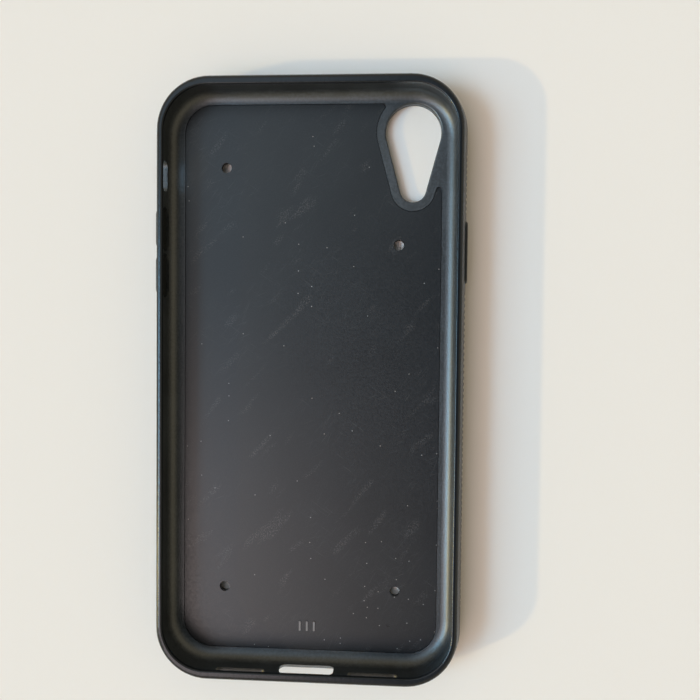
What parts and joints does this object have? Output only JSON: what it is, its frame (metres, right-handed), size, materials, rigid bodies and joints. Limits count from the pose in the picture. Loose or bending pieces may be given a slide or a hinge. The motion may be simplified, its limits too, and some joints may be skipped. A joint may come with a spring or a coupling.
{
  "type": "phone case",
  "caption": "Soft-framed phone case with raised lip, hard back plate, teardrop camera opening, ribbed side grips and pressable button covers.",
  "frame": {"origin": "centre of the bounding box in X and Y, on the surface that the case's back lies on", "axes": "+Z out of the phone pocket, +Y to the camera end, +X to the side of the power button"},
  "size_m": [0.0803, 0.1568, 0.0117],
  "materials": {
    "soft_frame": "satin black thermoplastic rubber with a fine matt grain",
    "hard_plate": "smooth black moulded plastic, lightly hazed by scratches",
    "button_cover": "satin black"
  },
  "bodies": {
    "case": {"bumper_frame": "soft_frame", "back_plate": "hard_plate"},
    "power_button": {"power_button_cover": "button_cover"},
    "volume_up_button": {"volume_up_cover": "button_cover"},
    "volume_down_button": {"volume_down_cover": "button_cover"}
  },
  "joints": [
    {"name": "power_press", "type": "slide", "parent": "case", "child": "power_button", "axis": [-1, 0, 0], "range_m": [0, 0.00035], "stiffness_N_per_m": 1500},
    {"name": "volume_up_press", "type": "slide", "parent": "case", "child": "volume_up_button", "axis": [1, 0, 0], "range_m": [0, 0.00035], "stiffness_N_per_m": 1500},
    {"name": "volume_down_press", "type": "slide", "parent": "case", "child": "volume_down_button", "axis": [1, 0, 0], "range_m": [0, 0.00035], "stiffness_N_per_m": 1500}
  ]
}
